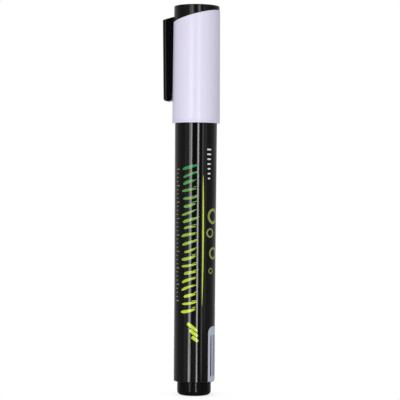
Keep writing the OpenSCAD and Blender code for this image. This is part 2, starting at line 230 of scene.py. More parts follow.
class Effect:
    """A shader node group that several finishes share, built once."""

    name: str = ""
    inputs: tuple[str, ...] = ()
    outputs: tuple[str, ...] = ()

    def __init__(self) -> None:
        """Build the group with its named sockets and draw what lies between them."""
        self.tree = bpy.data.node_groups.new(self.name, "ShaderNodeTree")
        for names, way in ((self.inputs, "INPUT"), (self.outputs, "OUTPUT")):
            for name in names:
                self.tree.interface.new_socket(name, in_out=way, socket_type="NodeSocketFloat")
        entry = self.tree.nodes.new("NodeGroupInput")
        leave = self.tree.nodes.new("NodeGroupOutput")
        self.given = entry.outputs
        self.sketch = Sketch(self.tree)
        self.sketch.fill(leave, **self.draw())

    def draw(self) -> Sockets:
        """Draw the inside of the group from what is given and return its outputs by name."""
        raise NotImplementedError

    def place(self, sketch: Sketch, **values: object) -> bpy.types.NodeOutputs:
        """Put the group into a material with values for its inputs, and return its outputs."""
        return sketch.add("Group", {"node_tree": self.tree}, **values).outputs


class MouldedGrain(Effect):
    """Fine grain and slow tone changes of a moulded surface."""

    name = "Moulded grain"
    inputs = ("Scale",)
    outputs = ("Height", "Tone")
    slow_share = 0.05

    def draw(self) -> Sockets:
        """Draw noise at the given scale for the grain, and at a small share of it for the tone.

        Returns:
            The group's outputs by name.
        """
        sketch = self.sketch
        place = sketch.place_of()
        fine = self.given["Scale"]
        slow = sketch.math("MULTIPLY", fine, self.slow_share)
        return {"Height": sketch.noise(place, fine), "Tone": sketch.noise(place, slow)}


class HandlingMarks(Effect):
    """Thin scratches in two directions from being handled, with the turns in radians."""

    name = "Handling marks"
    inputs = ("Scale", "Amount")
    outputs = ("Mask",)
    turns = ((0.5, 0.3, 0.4), (-0.4, 0.2, -0.7))
    stretch = (1.0, 1.0, 0.03)
    threshold = (0.66, 0.74)
    detail = 2.0

    def draw(self) -> Sockets:
        """Draw the crests of noise that is drawn out along two slanted directions.

        Returns:
            The group's outputs by name.
        """
        sketch = self.sketch
        place = sketch.place_of()
        streaks = []
        for turn in self.turns:
            mapping = sketch.add("Mapping", Vector=place, Rotation=turn, Scale=self.stretch)
            value = sketch.noise(mapping.outputs[0], self.given["Scale"], self.detail)
            streaks.append(sketch.remap(value, self.threshold, NONE_TO_ALL))
        crests = sketch.math("MAXIMUM", *streaks)
        return {"Mask": sketch.math("MULTIPLY", crests, self.given["Amount"])}


class AxialStreaks(Effect):
    """Streaks that run along the pen's axis, as fibres or flow lines do."""

    name = "Axial streaks"
    inputs = ("Around", "Along")
    outputs = ("Streak",)
    detail = 4.0

    def draw(self) -> Sockets:
        """Draw noise on the direction from the axis, drawn out along the height.

        Returns:
            The group's outputs by name.
        """
        sketch = self.sketch
        place = sketch.add("SeparateXYZ", Vector=sketch.place_of()).outputs
        level = sketch.add("CombineXYZ", X=place["X"], Y=place["Y"])
        outward = sketch.vector_math("NORMALIZE", level.outputs[0])
        stretch = {"operation": "SCALE"}
        around = sketch.add("VectorMath", stretch, Vector=outward, Scale=self.given["Around"])
        rise = sketch.math("MULTIPLY", place["Z"], self.given["Along"])
        height = sketch.add("CombineXYZ", Z=rise)
        spot = sketch.vector_math("ADD", around.outputs["Vector"], height.outputs[0])
        return {"Streak": sketch.noise(spot, 1.0, self.detail)}


class Effects:
    """The shared effects, made once for all finishes."""

    def __init__(self) -> None:
        """Build the node groups."""
        self.grain = MouldedGrain()
        self.marks = HandlingMarks()
        self.streaks = AxialStreaks()


def start_material(name: str) -> tuple[Material, Sketch, Node]:
    """Make an empty material.

    Args:
        name: Name of the material.

    Returns:
        The material, a sketch of its tree and its main shader node.
    """
    material = bpy.data.materials.new(name)
    material.use_nodes = True
    return material, Sketch(material.node_tree), material.node_tree.nodes["Principled BSDF"]


@dataclass(frozen=True)
class MouldedPlastic:
    """An injection-moulded plastic.

    Polish is the share of its roughness that is left on the clip's side of the span polish_x.
    """

    name: str
    colour: Colour
    roughness: float
    roughness_swing: float = 0.05
    tone_swing: float = 0.12
    grain_scale: float = 2600.0
    grain_height: float = 0.004 * MM
    flow_around: float = 9.0
    flow_along: float = 40.0
    scratch_scale: float = 900.0
    scratch_amount: float = 0.25
    scratch_lift: float = 2.0
    milkiness: float = 0.0
    milk_depth: float = 0.6 * MM
    ior: float = 1.49
    specular: float = 0.5
    polish: float = 1.0
    polish_x: Span = (-8.5 * MM, -8.25 * MM)

    def build(self, effects: Effects) -> Material:
        """Make the material.

        Args:
            effects: The shared node groups.

        Returns:
            A plastic with tone changes, flow lines, faint scratches and a fine grain.
        """
        material, sketch, shader = start_material(self.name)
        grain = effects.grain.place(sketch, Scale=self.grain_scale)
        flow = effects.streaks.place(sketch, Around=self.flow_around, Along=self.flow_along)
        marks = effects.marks.place(sketch, Scale=self.scratch_scale, Amount=self.scratch_amount)
        tones = (shade(self.colour, factor) for factor in span_about(1.0, self.tone_swing))
        tone = sketch.blend(grain["Tone"], *tones)
        colour = sketch.blend(marks["Mask"], tone, shade(self.colour, self.scratch_lift))
        rough_span = span_about(self.roughness, self.roughness_swing)
        smooth = sketch.remap(flow["Streak"], NOISE_SPAN, rough_span)
        rough = sketch.math("MULTIPLY_ADD", marks["Mask"], self.roughness_swing * 2, smooth)
        if self.polish < 1.0:
            left = sketch.remap(sketch.place_along("X"), self.polish_x, (self.polish, 1.0))
            rough = sketch.math("MULTIPLY", rough, left)
        bump = sketch.add("Bump", Height=grain["Height"], Distance=self.grain_height)
        sketch.fill(shader, Base_Color=colour, Roughness=rough, Normal=bump.outputs[0])
        sketch.fill(shader, IOR=self.ior, Specular_IOR_Level=self.specular)
        sketch.fill(shader, Subsurface_Weight=self.milkiness, Subsurface_Scale=self.milk_depth)
        return material


@dataclass(frozen=True)
class PressedFibre:
    """The bonded fibre of the nib, stained with ink towards its point."""

    name: str = "pressed_fibre"
    dry: Colour = (0.80, 0.79, 0.70)
    inked: Colour = (0.78, 0.77, 0.88)
    ink_from: float = 3.0 * MM
    ink_reach: float = 2.5 * MM
    roughness: float = 0.85
    sheen: float = 0.3
    fibre_around: float = 46.0
    fibre_along: float = 420.0
    fibre_height: float = 0.03 * MM
    grain_scale: float = 5200.0
    grain_share: float = 0.4
    # The gap values paint shade into the colour where the fibre's bump is low.
    gap_span: Span = (0.35, 0.6)
    gap_most: float = 0.35
    gap_shade: float = 0.55

    def build(self, effects: Effects, tip: float) -> Material:
        """Make the material.

        Args:
            effects: The shared node groups.
            tip: Height of the nib's point.

        Returns:
            A matt fibre with streaks along the axis, painted shade in the low gaps between its
            streaks, and a stained point.
        """
        material, sketch, shader = start_material(self.name)
        fibre = effects.streaks.place(sketch, Around=self.fibre_around, Along=self.fibre_along)
        grain = effects.grain.place(sketch, Scale=self.grain_scale)
        height = sketch.place_along("Z")
        edge = sketch.math("MULTIPLY_ADD", fibre["Streak"], self.ink_reach, height)
        start = tip - self.ink_from
        stain = sketch.remap(edge, (start, start + self.ink_reach), NONE_TO_ALL, True)
        base = sketch.blend(stain, self.dry, self.inked)
        # Painted shade: the colour darkens where the streak, and so the bump, is low.
        painted_gap_shade = sketch.remap(fibre["Streak"], self.gap_span, (self.gap_most, 0.0))
        colour = sketch.blend(painted_gap_shade, base, shade(self.dry, self.gap_shade))
        rise = sketch.math("MULTIPLY_ADD", grain["Height"], self.grain_share, fibre["Streak"])
        bump = sketch.add("Bump", Height=rise, Distance=self.fibre_height)
        sketch.fill(shader, Base_Color=colour, Normal=bump.outputs[0], Roughness=self.roughness)
        sketch.fill(shader, Sheen_Weight=self.sheen)
        return material


@dataclass(frozen=True)
class Steel:
    """Bare steel, polished or drawn."""

    name: str
    colour: Colour
    roughness: float
    roughness_swing: float
    line_scale: float
    mark_amount: float = 0.5
    mark_shade: float = 0.7

    def build(self, effects: Effects) -> Material:
        """Make the material.

        Args:
            effects: The shared node groups.

        Returns:
            A metal with fine lines in its roughness and faint scratches.
        """
        material, sketch, shader = start_material(self.name)
        grain = effects.grain.place(sketch, Scale=self.line_scale)
        marks = effects.marks.place(sketch, Scale=self.line_scale, Amount=self.mark_amount)
        rough_span = span_about(self.roughness, self.roughness_swing)
        rough = sketch.remap(grain["Height"], NOISE_SPAN, rough_span)
        colour = sketch.blend(marks["Mask"], self.colour, shade(self.colour, self.mark_shade))
        sketch.fill(shader, Base_Color=colour, Roughness=rough, Metallic=1.0)
        return material


@dataclass(frozen=True)
class PrintInk:
    """Printed ink under the barrel's gloss, from one colour up to another."""

    name: str
    low: Colour
    high: Colour
    bristle: float = 0.0
    low_z: float = 30.0 * MM
    high_z: float = 80.0 * MM
    track_scale: tuple[float, float, float] = (2.5, 9.0, 1.0)
    track_detail: float = 4.0
    thin_span: Span = (0.52, 0.75)
    grain_scale: float = 1800.0
    speck_span: Span = (0.35, 0.65)
    speck_most: float = 0.06
    under_shade: float = 0.12
    roughness: Span = (0.1, 0.18)

    def build(self, effects: Effects) -> Material:
        """Make the material.

        Args:
            effects: The shared node groups.

        Returns:
            An ink whose colour runs with the height and thins out along its bristle tracks.
        """
        material, sketch, shader = start_material(self.name)
        share = sketch.remap(sketch.place_along("Z"), (self.low_z, self.high_z), NONE_TO_ALL)
        run = sketch.blend(share, self.low, self.high)
        track = sketch.add("Mapping", Vector=sketch.place_of("UV"), Scale=self.track_scale)
        streak = sketch.noise(track.outputs[0], 1.0, self.track_detail)
        thin = sketch.remap(streak, self.thin_span, (0.0, self.bristle), True)
        grain = effects.grain.place(sketch, Scale=self.grain_scale)
        speck = sketch.remap(grain["Height"], self.speck_span, (self.speck_most, 0.0))
        weak = sketch.math("ADD", thin, speck)
        colour = sketch.blend(weak, run, shade(self.low, self.under_shade))
        rough = sketch.remap(grain["Tone"], NOISE_SPAN, self.roughness)
        sketch.fill(shader, Base_Color=colour, Roughness=rough)
        return material


class Finishes:
    """Every finish of the pen, ready to be put on its pieces."""

    def __init__(self) -> None:
        """Make the shared effects and the materials."""
        self.effects = effects = Effects()
        self.gloss_black = MouldedPlastic(
            "gloss_black", (0.003, 0.003, 0.0031), 0.1, roughness_swing=0.025, tone_swing=0.25,
            grain_height=0.0003 * MM, scratch_amount=0.12,
        ).build(effects)
        self.satin_black = MouldedPlastic(
            "satin_black", (0.004, 0.004, 0.0042), 0.15, grain_height=0.0005 * MM, specular=0.13
        ).build(effects)
        self.cap_black = MouldedPlastic(
            "cap_black", (0.0022, 0.0022, 0.0023), 0.19, grain_height=0.0005 * MM,
            specular=0.45, polish=0.5,
        ).build(effects)
        self.pale_sleeve = MouldedPlastic(
            "pale_sleeve", (0.755, 0.735, 0.895), 0.3, tone_swing=0.015, grain_height=0.002 * MM,
            scratch_amount=0.1, scratch_lift=0.9, milkiness=0.1,
        ).build(effects)
        milky = {"scratch_lift": 0.9, "milkiness": 0.4}
        self.liner = MouldedPlastic(
            "milky_liner", (0.70, 0.72, 0.74), 0.45, tone_swing=0.04, **milky
        ).build(effects)
        self.natural = MouldedPlastic(
            "natural_plastic", (0.76, 0.76, 0.73), 0.42, tone_swing=0.05, **milky
        ).build(effects)
        self.rubber = MouldedPlastic(
            "gasket_rubber", (0.035, 0.035, 0.038), 0.75, tone_swing=0.2, grain_height=0.01 * MM
        ).build(effects)
        self.ball_steel = Steel(
            "ball_steel", (0.70, 0.71, 0.73), 0.12, roughness_swing=0.05, line_scale=2400.0
        ).build(effects)
        self.spring_steel = Steel(
            "spring_steel", (0.60, 0.60, 0.62), 0.28, roughness_swing=0.1, line_scale=5200.0
        ).build(effects)


def grid_faces(number: np.ndarray, closed: bool) -> np.ndarray:
    """Quads between the rings of several tubes.

    Each quad joins two neighbours on one ring to the same two on the next.

    Args:
        number: Vertex numbers with the shape (tube, ring, point).
        closed: Whether the last ring joins the first.

    Returns:
        Vertex numbers, four to a row.
    """
    ahead = np.roll(number, -1, axis=1)
    if not closed:
        number = number[:, :-1]
        ahead = ahead[:, :-1]
    corners = (number, np.roll(number, -1, axis=2), np.roll(ahead, -1, axis=2), ahead)
    return np.stack(corners, axis=-1).reshape(-1, 4)


def signed_volume(points: np.ndarray, quads: np.ndarray) -> float:
    """Volume inside closed quads, a sixth of the sum of their triangles' box products.

    Args:
        points: Vertex places, three to a row.
        quads: Vertex numbers, four to a row.

    Returns:
        The volume, which is negative where the faces point inwards.
    """
    a, b, c, d = points[quads.T]
    return float((a * (np.cross(b, c) + np.cross(c, d))).sum()) / 6.0


@dataclass
class TubeMesh:
    """A mesh of one or more tubes, each a stack of closed rings.

    The grid has the shape (tube, ring, point, 3). An open tube gets a flat end at each end.
    """

    name: str
    grid: np.ndarray
    closed: bool = False
    sharp_angle: float = 40.0

    def build(self, material: Material) -> Piece:
        """Put the grid into a mesh with a UV map along and across each tube.

        Args:
            material: The finish of the piece.

        Returns:
            The new object, at the origin.
        """
        points = self.grid.reshape(-1, 3)
        number = np.arange(len(points)).reshape(self.grid.shape[:3])
        quads = grid_faces(number, self.closed)
        outward = signed_volume(points - points.mean(axis=0), quads) > 0.0
        faces = (quads if outward else quads[:, ::-1]).tolist()
        if not self.closed:
            ends = np.concatenate([number[:, 0, ::-1], number[:, -1, :]])
            faces += (ends if outward else ends[:, ::-1]).tolist()
        mesh = bpy.data.meshes.new(self.name)
        mesh.from_pydata(points.tolist(), [], faces)
        self.lay_out(mesh)
        mesh.polygons.foreach_set("use_smooth", np.ones(len(mesh.polygons), bool))
        mesh.set_sharp_from_angle(angle=math.radians(self.sharp_angle))
        mesh.materials.append(material)
        mesh.validate()
        mesh.update()
        return show(self.name, mesh)

    def lay_out(self, mesh: bpy.types.Mesh) -> None:
        """Give each vertex its share of the way along and round its tube as its UV place.

        Args:
            mesh: The mesh that gets the UV map.
        """
        count, along, ring, _ = self.grid.shape
        spot = np.zeros((count, along, ring, 2))
        spot[..., 0] = np.arange(count)[:, None, None] + np.linspace(0, 1, along)[None, :, None]
        spot[..., 1] = np.linspace(0, 1, ring)
        corners = np.empty(len(mesh.loops), np.int32)
        mesh.loops.foreach_get("vertex_index", corners)
        layer = mesh.uv_layers.new(name="layout")
        layer.data.foreach_set("uv", spot.reshape(-1, 2)[corners].astype(np.float32).ravel())


def rounded_outline(
    corners: np.ndarray, cuts: list[float], steps: int = 6, hold: float = 1.4
) -> np.ndarray:
    """Soften the corners of a closed outline.

    Each corner becomes a quadratic curve that leaves the one side and meets the other at the
    corner's cut, with one more point on each side to hold the flat next to it.

    Args:
        corners: Corner places with the shape (corner, ..., 2).
        cuts: Distance from each corner at which its curve starts.
        steps: Points in one curve.
        hold: Distance of the further points from the corner, in cuts.

    Returns:
        The outline's points with the shape (point, ..., 2).
    """
    share = np.linspace(0.0, 1.0, steps).reshape(-1, *([1] * (corners.ndim - 1)))
    before = np.roll(corners, 1, axis=0) - corners
    after = np.roll(corners, -1, axis=0) - corners
    before /= np.linalg.norm(before, axis=-1, keepdims=True)
    after /= np.linalg.norm(after, axis=-1, keepdims=True)
    rows = []
    for corner, back, ahead, cut in zip(corners, before, after, cuts):
        start = corner + back * cut
        end = corner + ahead * cut
        curve = (1 - share) ** 2 * start + 2 * share * (1 - share) * corner + share**2 * end
        rows += [(corner + back * cut * hold)[None], curve, (corner + ahead * cut * hold)[None]]
    return np.concatenate(rows)


@dataclass(frozen=True)
class Run:
    """Values along a row: base + step * k + swing * sin(rate * k + start) at place k.

    Rate and start are in radians. The places that every divides get the extra added.
    """

    base: float = 0.0
    step: float = 0.0
    swing: float = 0.0
    rate: float = 0.0
    start: float = 0.0
    every: int = 1
    extra: float = 0.0

    def at(self, k: np.ndarray) -> np.ndarray:
        """Work out the values at the places k."""
        wave = self.swing * np.sin(self.rate * k + self.start)
        return self.base + self.step * k + wave + self.extra * (k % self.every == 0)


@dataclass(frozen=True)
class StrokeRow:
    """A row of printed strokes.

    Its angle is from the line that faces the viewpoint, and across counts from there. Across and
    height place the strokes' middles, slant is from level, bow is how far a stroke bends out, and
    a larger blunt makes the ends squarer.
    """

    name: str
    count: int
    angle: float
    height: Run
    length: Run
    width: Run
    across: Run = Run()
    slant: Run = Run()
    bow: Run = Run()
    blunt: float = 3.0


@dataclass
class BarrelPrint:
    """The print on the barrel, as thin raised ink that is wrapped round its wall.

    Artwork is laid out flat: across is the distance round the wall from the line that faces the
    viewpoint, and height is the height up the axis.
    """

    radius: float
    rim_z: float
    widest_z: float
    swell: float = 0.2 * MM
    straight: float = 36.0 * MM
    rim_round: float = 0.3 * MM
    ink: float = 0.02 * MM
    sunk: float = 0.03 * MM
    facing: float = VIEW_AZIMUTH
    # Places across a stroke's profile, in half widths, and the rise of its upper ones, in inks.
    profile_side: tuple[float, ...] = (-1.0, -0.7, 0.0, 0.7, 1.0, 1.0, -1.0)
    profile_rise: tuple[float, ...] = (0.2, 0.9, 1.0, 0.9, 0.2)
    path_points: int = 25
    drawn_out: float = 0.25
    least_width: float = 0.12
    hatching: StrokeRow = StrokeRow(
        "print_hatching", count=20, angle=-17.0,
        height=Run(80.675 * MM, step=-2.65 * MM),
        length=Run(5.192 * MM, swing=0.708 * MM, rate=2.1, start=0.4),
        width=Run(1.1 * MM, swing=0.15 * MM, rate=3.7, start=1.0),
        across=Run(swing=0.35 * MM, rate=1.9), slant=Run(15.0, swing=6.0, rate=1.3),
        bow=Run(swing=0.25 * MM, rate=0.9, start=0.3),
    )
    trails: StrokeRow = replace(
        hatching,
        name="print_trails",
        height=Run(81.682 * MM, step=-2.65 * MM, swing=0.2 * MM, rate=2.7),
        length=Run(1.76 * MM, swing=0.44 * MM, rate=2.9),
        width=Run(0.28 * MM),
        across=Run(2.2 * MM, swing=0.4 * MM, rate=1.9, start=0.8),
        bow=Run(),
    )
    ticks: StrokeRow = StrokeRow(
        "print_ticks", count=33, angle=-62.0, blunt=12.0,
        height=Run(80.0 * MM, step=-1.45 * MM), width=Run(0.32 * MM),
        length=Run(0.95 * MM, every=4, extra=0.75 * MM),
        across=Run(0.475 * MM, every=4, extra=0.375 * MM),
    )
    line: StrokeRow = StrokeRow(
        "print_line", count=1, angle=21.0, blunt=2.0,
        height=Run(55.0 * MM), length=Run(46.0 * MM), width=Run(0.6 * MM),
        slant=Run(-90.0), bow=Run(0.2 * MM),
    )
    bars: StrokeRow = StrokeRow(
        "print_bars", count=3, angle=-6.0, blunt=14.0,
        height=Run(24.5 * MM, step=-2.1 * MM), length=Run(4.6 * MM, step=-0.9 * MM),
        width=Run(1.3 * MM), across=Run(step=0.5 * MM), slant=Run(-38.0),
    )
    dashes: StrokeRow = StrokeRow(
        "print_dashes", count=7, angle=40.0, blunt=8.0,
        height=Run(87.0 * MM, step=-1.7 * MM), length=Run(1.9 * MM, step=-0.14 * MM),
        width=Run(0.62 * MM),
    )
    rules: StrokeRow = StrokeRow(
        "print_rules", count=6, angle=42.0, blunt=30.0,
        height=Run(14.2 * MM), length=Run(15.0 * MM), width=Run(0.75 * MM),
        across=Run(1.45 * MM, step=1.72 * MM), slant=Run(90.0),
    )
    # Angle, height and radius of each ring.
    rings: tuple[tuple[float, float, float], ...] = (
        (58.0, 63.5 * MM, 2.3 * MM),
        (46.0, 57.6 * MM, 1.4 * MM),
        (60.0, 50.4 * MM, 1.8 * MM),
        (50.0, 44.2 * MM, 0.9 * MM),
    )
    ring_points: int = 48
    ring_band: float = 0.42
    panel_angle: float = 42.0
    panel_width: float = 11.5 * MM
    panel_top: float = 24.6 * MM
    panel_corner: float = 2.4 * MM
    panel_gap: float = 0.25 * MM
    panel_columns: int = 61
    # First and last height of each set of rows, in shares of the panel's, and their number.
    panel_rows: tuple[tuple[float, float, int], ...] = ((0.0, 0.06, 7), (0.12, 1.0, 16))

    def wall(self, height: np.ndarray) -> np.ndarray:
        """Radius of the barrel at a height.

        It turns in along an arc at the tail rim, is level over the straight part and grows evenly
        from there to the widest place.

        Args:
            height: Heights up the axis.

        Returns:
            The radii.
        """
        below = np.clip(self.rim_z + self.rim_round - height, 0.0, self.rim_round)
        start = self.rim_z + self.straight
        grown = np.clip((height - start) / (self.widest_z - start), 0.0, 1.0)
        edge = np.sqrt(self.rim_round**2 - below**2) - self.rim_round
        return self.radius + self.swell * grown + edge

    def wrap(self, across: np.ndarray, height: np.ndarray, lift: np.ndarray) -> np.ndarray:
        """Carry flat artwork onto the round wall.

        Args:
            across: Distances round the wall.
            height: Heights up the axis.
            lift: Heights above the wall.

        Returns:
            Points with a last axis of three.
        """
        turn = math.radians(self.facing) + across / self.radius
        radius = self.wall(height) + lift
        return np.stack([radius * np.sin(turn), -radius * np.cos(turn), height + 0 * lift], axis=-1)

    def across_at(self, angle: float | np.ndarray) -> float | np.ndarray:
        """Distance round the wall at an angle from the line that faces the viewpoint."""
        return np.radians(angle) * self.radius

    def ribbons(
        self, across: np.ndarray, height: np.ndarray, width: np.ndarray, closed: bool
    ) -> np.ndarray:
        """Carry a low crowned profile along several flat paths.

        Args:
            across: Distances round the wall with the shape (path, point).
            height: Heights with the same shape.
            width: Widths with the same shape.
            closed: Whether each path joins its own start.

        Returns:
            A grid for TubeMesh.
        """
        path = np.stack([across, height])
        if closed:
            run, rise = np.roll(path, -1, axis=2) - np.roll(path, 1, axis=2)
        else:
            run, rise = np.gradient(path, axis=2)
        length = np.hypot(run, rise)
        lift = np.append(np.array(self.profile_rise) * self.ink, [-self.sunk, -self.sunk])
        reach = width[..., None] / 2 * np.array(self.profile_side)
        flat_across = across[..., None] - (rise / length)[..., None] * reach
        flat_height = height[..., None] + (run / length)[..., None] * reach
        return self.wrap(flat_across, flat_height, np.broadcast_to(lift, flat_across.shape))

    def strokes(self, row: StrokeRow) -> TubeMesh:
        """Lay out brushed strokes, blunt where they start and drawn out towards their ends.

        A stroke's path is a straight line plus its bow times one minus the square of the way from
        its middle, and its width falls to the ends as the root of one minus a power of that way.

        Args:
            row: The sizes of the strokes.

        Returns:
            The mesh of the strokes.
        """
        k = np.arange(row.count)[:, None]
        share = np.linspace(-1.0, 1.0, self.path_points)
        turn = np.radians(row.slant.at(k))
        along = row.length.at(k) / 2 * share
        off = row.bow.at(k) * (1 - share**2)
        middle = self.across_at(row.angle) + row.across.at(k)
        across = middle + along * np.cos(turn) - off * np.sin(turn)
        height = row.height.at(k) + along * np.sin(turn) + off * np.cos(turn)
        fullness = np.sqrt(1 - np.abs(share) ** row.blunt) * (1 - self.drawn_out * (share + 1) / 2)
        width = row.width.at(k) * np.maximum(fullness, self.least_width)
        return TubeMesh(row.name, self.ribbons(across, height, width, False))

    def bubbles(self) -> TubeMesh:
        """Lay out rings of several sizes to the right, as ribbons that close round a circle.

        Returns:
            The mesh of the rings.
        """
        angle, height, size = (column[:, None] for column in np.array(self.rings).T)
        turn = np.linspace(0.0, FULL_TURN, self.ring_points, endpoint=False)
        across = self.across_at(angle) + size * np.cos(turn)
        rise = height + size * np.sin(turn)
        width = np.broadcast_to(size * self.ring_band, across.shape)
        return TubeMesh("print_rings", self.ribbons(across, rise, width, True), True)

    def panel(self) -> TubeMesh:
        """Lay out the blank pale panel by the tail, with its upper corners rounded.

        Each ring goes up the under side and down the face at one place across the panel, and the
        upper edge drops along an arc near both sides.

        Returns:
            The mesh of the panel.
        """
        left = self.across_at(self.panel_angle)
        half = self.panel_width / 2
        low = self.rim_z + self.panel_gap
        corner = self.panel_corner
        bend = np.sin(np.linspace(-math.pi / 2, math.pi / 2, self.panel_columns))
        across = left + half * (bend + 1)
        past = np.clip(np.abs(across - left - half) - (half - corner), 0.0, corner)
        upper = self.panel_top - corner + np.sqrt(corner**2 - past**2)
        rise = np.concatenate([np.linspace(*rows) for rows in self.panel_rows])
        share = np.concatenate([rise, rise[::-1]])
        lift = np.where(np.arange(share.size) < rise.size, -self.sunk, self.ink)
        height = low + (upper[:, None] - low) * share
        grid = self.wrap(across[:, None] + 0 * height, height, np.broadcast_to(lift, height.shape))
        return TubeMesh("print_panel", grid[None])

    def ruled_lines(self) -> TubeMesh:
        """Lay out plain ruled lines up the panel, on top of its ink."""
        return replace(self, radius=self.radius + self.ink).strokes(self.rules)


@dataclass
class BarrelAssembly:
    """The barrel with its print, the tail plug and the mixing ball."""

    finishes: Finishes
    mouth_gap: float = 0.1 * MM
    bristle: float = 0.5
    green: Colour = (0.030, 0.270, 0.065)
    lime: Colour = (0.560, 0.720, 0.045)
    olive: Colour = (0.300, 0.340, 0.090)
    chalk: Colour = (0.780, 0.780, 0.780)
    pale: Colour = (0.530, 0.570, 0.680)
    slate: Colour = (0.030, 0.035, 0.070)

    def plain_ink(self, name: str, colour: Colour) -> Material:
        """Make a printing ink of one colour."""
        return PrintInk(name, colour, colour).build(self.finishes.effects)

    def build(self) -> None:
        """Dress the barrel, plug and ball, and put the print on the barrel."""
        dress("barrel", self.finishes.gloss_black)
        dress("tail_plug", self.finishes.satin_black)
        dress("mixing_ball", self.finishes.ball_steel)
        low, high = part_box("barrel")
        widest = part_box("cap_sleeve")[0].z - self.mouth_gap
        art = BarrelPrint(high.x - BarrelPrint.swell, low.z, widest)
        run = PrintInk("brushed_ink", self.lime, self.green, self.bristle)
        brushed = run.build(self.finishes.effects)
        lime = self.plain_ink("lime_ink", self.lime)
        olive = self.plain_ink("olive_ink", self.olive)
        prints = (
            (art.strokes(art.hatching), brushed),
            (art.strokes(art.trails), brushed),
            (art.strokes(art.ticks), olive),
            (art.strokes(art.line), lime),
            (art.strokes(art.bars), lime),
            (art.bubbles(), olive),
            (art.strokes(art.dashes), self.plain_ink("chalk_ink", self.chalk)),
            (art.panel(), self.plain_ink("pale_ink", self.pale)),
            (art.ruled_lines(), self.plain_ink("slate_ink", self.slate)),
        )
        for mesh, ink in prints:
            settle(mesh.build(ink), Body.PEN)


@dataclass
class ValveAssembly:
    """The nose, the nib and the sprung valve behind it."""

    finishes: Finishes
    wire: float = 0.5 * MM
    pitch: float = 1.3 * MM
    ground_turns: float = 0.25
    ground_depth: float = 0.12 * MM
    rings_per_turn: int = 40
    wire_sides: int = 14
    sharp_angle: float = 60.0
    stroke: float = 2.0 * MM

    def spring_grid(self, low: Vector, high: Vector) -> np.ndarray:
        """Wire carried along a helix whose ends lie flat and are ground down.

        The height of the wire's centre rises by the pitch in a turn between the flat ends, and
        every point is held between the two seats.

        Args:
            low: Lowest corner of the spring.
            high: Highest corner of the spring.

        Returns:
            A grid for TubeMesh.
        """
        wire_r = self.wire / 2
        coil_r = high.x - wire_r
        seat = wire_r - self.ground_depth
        active = (high.z - low.z - 2 * seat) / self.pitch
        turns = active + 2 * self.ground_turns
        turn = np.linspace(0.0, turns, int(turns * self.rings_per_turn))[:, None]
        side = np.linspace(0.0, FULL_TURN, self.wire_sides, endpoint=False)
        centre = low.z + seat + self.pitch * np.clip(turn - self.ground_turns, 0.0, active)
        radius = coil_r + wire_r * np.cos(side)
        height = np.clip(centre + wire_r * np.sin(side), low.z, high.z)
        angle = FULL_TURN * turn
        return np.stack([radius * np.cos(angle), radius * np.sin(angle), height], axis=-1)[None]

    def spring(self) -> None:
        """Build the spring at its rest length in place of the frame's spring; the real spring
        shortens as the nib is pressed.
        """
        low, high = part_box("valve_spring")
        mesh = TubeMesh("wound_spring", self.spring_grid(low, high), sharp_angle=self.sharp_angle)
        piece = mesh.build(self.finishes.spring_steel)
        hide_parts("valve_spring")
        settle(piece, Body.PEN)
        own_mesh(piece)

    def build(self) -> None:
        """Dress the rigid pieces and build the spring."""
        dress("nose_cone", self.finishes.satin_black)
        dress("nib", PressedFibre().build(self.finishes.effects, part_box("nib")[1].z))
        for name in ("valve_housing", "valve_plunger", "valve_retainer"):
            dress(name, self.finishes.natural)
        dress("valve_gasket", self.finishes.rubber)
        self.spring()


@dataclass
class CapAssembly:
    """The cap: its black core and clip, its pale sleeve and its soft liner."""

    finishes: Finishes
    wall: float = 1.0 * MM
    taper: float = 0.2 * MM
    cut_angle: float = 14.8
    rim_h: float = 0.55 * MM
    groove_d: float = 0.2 * MM
    groove_w: float = 0.35 * MM
    mouth_round: float = 0.15 * MM
    lip_round: float = 0.22 * MM
    fine_round: float = 0.05 * MM
    around: int = 192
    sharp_angle: float = 80.0

    def sleeve_grid(self) -> np.ndarray:
        """Rounded outline of the sleeve at each angle about the axis.

        The wall's radius falls evenly with the height. The cut is a slanted plane, so where it
        meets the outer or inner wall, radius and height follow from the two lines r = a - b z and
        z = c + r tan(cut) cos(angle). The other corners are the same at every angle.

        Returns:
            A grid for TubeMesh.
        """
        low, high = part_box("cap_sleeve")
        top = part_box("cap_core")[1].z
        fall = self.taper / (top - low.z)
        start = high.x + fall * low.z
        slope = math.tan(math.radians(self.cut_angle))
        cut = high.z - (start - fall * high.z) * slope
        angle = np.linspace(0.0, FULL_TURN, self.around, endpoint=False)
        lean = slope * np.cos(angle)
        groove = low.z + self.rim_h
        level = [
            (high.x - self.wall, low.z),
            (high.x, low.z),
            (high.x, groove),
            (high.x - self.groove_d, groove + self.groove_w / 2),
            (start - fall * (groove + self.groove_w), groove + self.groove_w),
        ]
        walls = np.array([0.0, self.wall])[:, None]
        radius = (start - walls - fall * cut) / (1 + fall * lean)
        slanted = np.stack([radius, cut + radius * lean], axis=-1)
        flat = np.broadcast_to(np.array(level)[:, None], (len(level), *slanted.shape[1:]))
        corners = np.concatenate([flat, slanted])
        fine = self.fine_round
        cuts = [2 * fine, self.mouth_round, fine, fine, fine, self.lip_round, 2 * fine]
        radius, height = rounded_outline(corners, cuts).T
        turn = angle[:, None]
        return np.stack([radius * np.cos(turn), radius * np.sin(turn), height], axis=-1)[None]

    def build(self) -> None:
        """Dress the core and liner, and build the sleeve."""
        dress("cap_core", self.finishes.cap_black)
        dress("cap_liner", self.finishes.liner)
        mesh = TubeMesh("soft_edged_sleeve", self.sleeve_grid(), True, self.sharp_angle)
        sleeve = mesh.build(self.finishes.pale_sleeve)
        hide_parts("cap_sleeve")
        settle(sleeve, Body.CAP)


def dress(node: str, material: Material) -> None:
    """Give a rigid node of the frame its finish and report it."""
    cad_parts[node].material_slots[0].material = material
    LOG.info("dressed %s with %s", node, material.name)


